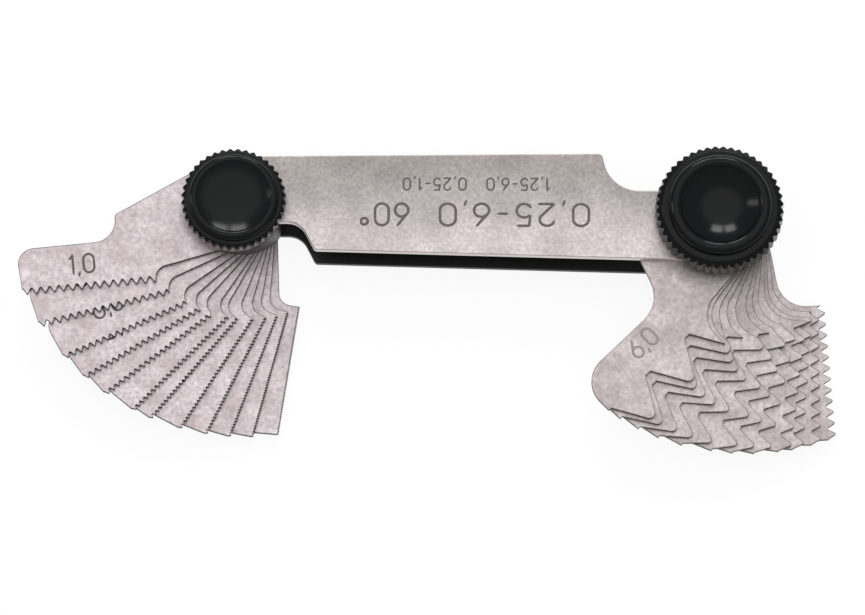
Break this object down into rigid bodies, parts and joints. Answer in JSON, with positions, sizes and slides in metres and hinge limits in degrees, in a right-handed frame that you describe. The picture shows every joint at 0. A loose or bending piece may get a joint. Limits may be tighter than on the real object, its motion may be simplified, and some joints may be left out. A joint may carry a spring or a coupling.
{
  "type": "thread pitch gauge",
  "caption": "Metric thread pitch gauge: two fans of toothed steel leaves pivot between a pair of S-shaped plates, each fan locked by a knurled thumbscrew.",
  "frame": {"origin": "midway between the two pillars, on the underside of the rear plate, which the gauge lies on", "axes": "+X along the plates from the fine fan to the coarse fan, +Y across the plates towards the edge with the notch beside the coarse fan, +Z from the rear plate to the front plate and the knobs"},
  "size_m": [0.0898, 0.0332, 0.0107],
  "materials": {
    "nickel_plate": "nickel-plated steel sheet, satin, with brighter rolled edges",
    "leaf_steel": "ground spring steel leaf, fine satin grain",
    "turned_steel": "turned bright steel",
    "black_plastic": "glossy black moulded plastic"
  },
  "bodies": {
    "case": {"front_plate": "nickel_plate", "rear_plate": "nickel_plate", "fine_pillar": "turned_steel", "coarse_pillar": "turned_steel"},
    "leaf_1_00": {"leaf_1_00": "leaf_steel"},
    "leaf_0_90": {"leaf_0_90": "leaf_steel"},
    "leaf_0_80": {"leaf_0_80": "leaf_steel"},
    "leaf_0_75": {"leaf_0_75": "leaf_steel"},
    "leaf_0_70": {"leaf_0_70": "leaf_steel"},
    "leaf_0_60": {"leaf_0_60": "leaf_steel"},
    "leaf_0_50": {"leaf_0_50": "leaf_steel"},
    "leaf_0_45": {"leaf_0_45": "leaf_steel"},
    "leaf_0_40": {"leaf_0_40": "leaf_steel"},
    "leaf_0_35": {"leaf_0_35": "leaf_steel"},
    "leaf_0_30": {"leaf_0_30": "leaf_steel"},
    "leaf_0_25": {"leaf_0_25": "leaf_steel"},
    "fine_washer": {"fine_washer": "turned_steel"},
    "fine_knob": {"fine_knob": "black_plastic", "fine_screw": "turned_steel"},
    "leaf_6_00": {"leaf_6_00": "leaf_steel"},
    "leaf_5_50": {"leaf_5_50": "leaf_steel"},
    "leaf_5_00": {"leaf_5_00": "leaf_steel"},
    "leaf_4_50": {"leaf_4_50": "leaf_steel"},
    "leaf_4_00": {"leaf_4_00": "leaf_steel"},
    "leaf_3_50": {"leaf_3_50": "leaf_steel"},
    "leaf_3_00": {"leaf_3_00": "leaf_steel"},
    "leaf_2_50": {"leaf_2_50": "leaf_steel"},
    "leaf_2_00": {"leaf_2_00": "leaf_steel"},
    "leaf_1_75": {"leaf_1_75": "leaf_steel"},
    "leaf_1_50": {"leaf_1_50": "leaf_steel"},
    "leaf_1_25": {"leaf_1_25": "leaf_steel"},
    "coarse_washer": {"coarse_washer": "turned_steel"},
    "coarse_knob": {"coarse_knob": "black_plastic", "coarse_screw": "turned_steel"}
  },
  "joints": [
    {"name": "leaf_1_00_swing", "type": "hinge", "parent": "case", "child": "leaf_1_00", "pos_m": [-0.02665, 0.0006, 0.00536], "axis": [0, 0, 1], "range_deg": [-6, 158]},
    {"name": "leaf_0_90_swing", "type": "hinge", "parent": "case", "child": "leaf_0_90", "pos_m": [-0.02665, 0.0006, 0.00496], "axis": [0, 0, 1], "range_deg": [-15, 149]},
    {"name": "leaf_0_80_swing", "type": "hinge", "parent": "case", "child": "leaf_0_80", "pos_m": [-0.02665, 0.0006, 0.00456], "axis": [0, 0, 1], "range_deg": [-25, 139]},
    {"name": "leaf_0_75_swing", "type": "hinge", "parent": "case", "child": "leaf_0_75", "pos_m": [-0.02665, 0.0006, 0.00416], "axis": [0, 0, 1], "range_deg": [-32, 132]},
    {"name": "leaf_0_70_swing", "type": "hinge", "parent": "case", "child": "leaf_0_70", "pos_m": [-0.02665, 0.0006, 0.00376], "axis": [0, 0, 1], "range_deg": [-38.3, 125.7]},
    {"name": "leaf_0_60_swing", "type": "hinge", "parent": "case", "child": "leaf_0_60", "pos_m": [-0.02665, 0.0006, 0.00336], "axis": [0, 0, 1], "range_deg": [-46, 118]},
    {"name": "leaf_0_50_swing", "type": "hinge", "parent": "case", "child": "leaf_0_50", "pos_m": [-0.02665, 0.0006, 0.00296], "axis": [0, 0, 1], "range_deg": [-50.5, 113.5]},
    {"name": "leaf_0_45_swing", "type": "hinge", "parent": "case", "child": "leaf_0_45", "pos_m": [-0.02665, 0.0006, 0.00256], "axis": [0, 0, 1], "range_deg": [-58, 106]},
    {"name": "leaf_0_40_swing", "type": "hinge", "parent": "case", "child": "leaf_0_40", "pos_m": [-0.02665, 0.0006, 0.00216], "axis": [0, 0, 1], "range_deg": [-64.3, 99.7]},
    {"name": "leaf_0_35_swing", "type": "hinge", "parent": "case", "child": "leaf_0_35", "pos_m": [-0.02665, 0.0006, 0.00176], "axis": [0, 0, 1], "range_deg": [-69.9, 94.1]},
    {"name": "leaf_0_30_swing", "type": "hinge", "parent": "case", "child": "leaf_0_30", "pos_m": [-0.02665, 0.0006, 0.00136], "axis": [0, 0, 1], "range_deg": [-75.3, 88.7]},
    {"name": "leaf_0_25_swing", "type": "hinge", "parent": "case", "child": "leaf_0_25", "pos_m": [-0.02665, 0.0006, 0.00096], "axis": [0, 0, 1], "range_deg": [-81.4, 82.6]},
    {"name": "fine_lock_lift", "type": "slide", "parent": "case", "child": "fine_washer", "axis": [0, 0, 1], "range_m": [0, 0.001]},
    {"name": "fine_knob_turn", "type": "hinge", "parent": "fine_washer", "child": "fine_knob", "pos_m": [-0.02665, 0.0006, 0.0068], "axis": [0, 0, 1], "range_deg": [0, 720.1]},
    {"name": "leaf_6_00_swing", "type": "hinge", "parent": "case", "child": "leaf_6_00", "pos_m": [0.02665, -0.0006, 0.00536], "axis": [0, 0, 1], "range_deg": [-70.3, 135.7]},
    {"name": "leaf_5_50_swing", "type": "hinge", "parent": "case", "child": "leaf_5_50", "pos_m": [0.02665, -0.0006, 0.00496], "axis": [0, 0, 1], "range_deg": [-73, 133]},
    {"name": "leaf_5_00_swing", "type": "hinge", "parent": "case", "child": "leaf_5_00", "pos_m": [0.02665, -0.0006, 0.00456], "axis": [0, 0, 1], "range_deg": [-77.4, 128.6]},
    {"name": "leaf_4_50_swing", "type": "hinge", "parent": "case", "child": "leaf_4_50", "pos_m": [0.02665, -0.0006, 0.00416], "axis": [0, 0, 1], "range_deg": [-82, 124]},
    {"name": "leaf_4_00_swing", "type": "hinge", "parent": "case", "child": "leaf_4_00", "pos_m": [0.02665, -0.0006, 0.00376], "axis": [0, 0, 1], "range_deg": [-87.3, 118.7]},
    {"name": "leaf_3_50_swing", "type": "hinge", "parent": "case", "child": "leaf_3_50", "pos_m": [0.02665, -0.0006, 0.00336], "axis": [0, 0, 1], "range_deg": [-94, 112]},
    {"name": "leaf_3_00_swing", "type": "hinge", "parent": "case", "child": "leaf_3_00", "pos_m": [0.02665, -0.0006, 0.00296], "axis": [0, 0, 1], "range_deg": [-98.5, 107.5]},
    {"name": "leaf_2_50_swing", "type": "hinge", "parent": "case", "child": "leaf_2_50", "pos_m": [0.02665, -0.0006, 0.00256], "axis": [0, 0, 1], "range_deg": [-103, 103]},
    {"name": "leaf_2_00_swing", "type": "hinge", "parent": "case", "child": "leaf_2_00", "pos_m": [0.02665, -0.0006, 0.00216], "axis": [0, 0, 1], "range_deg": [-108.3, 97.7]},
    {"name": "leaf_1_75_swing", "type": "hinge", "parent": "case", "child": "leaf_1_75", "pos_m": [0.02665, -0.0006, 0.00176], "axis": [0, 0, 1], "range_deg": [-111.5, 94.5]},
    {"name": "leaf_1_50_swing", "type": "hinge", "parent": "case", "child": "leaf_1_50", "pos_m": [0.02665, -0.0006, 0.00136], "axis": [0, 0, 1], "range_deg": [-116, 90]},
    {"name": "leaf_1_25_swing", "type": "hinge", "parent": "case", "child": "leaf_1_25", "pos_m": [0.02665, -0.0006, 0.00096], "axis": [0, 0, 1], "range_deg": [-120, 86]},
    {"name": "coarse_lock_lift", "type": "slide", "parent": "case", "child": "coarse_washer", "axis": [0, 0, 1], "range_m": [0, 0.001]},
    {"name": "coarse_knob_turn", "type": "hinge", "parent": "coarse_washer", "child": "coarse_knob", "pos_m": [0.02665, -0.0006, 0.0068], "axis": [0, 0, 1], "range_deg": [0, 720.1]}
  ],
  "couplings": [
    {"joint": "fine_knob_turn", "follows": "fine_lock_lift", "rad_per_m": 12566},
    {"joint": "coarse_knob_turn", "follows": "coarse_lock_lift", "rad_per_m": 12566}
  ]
}
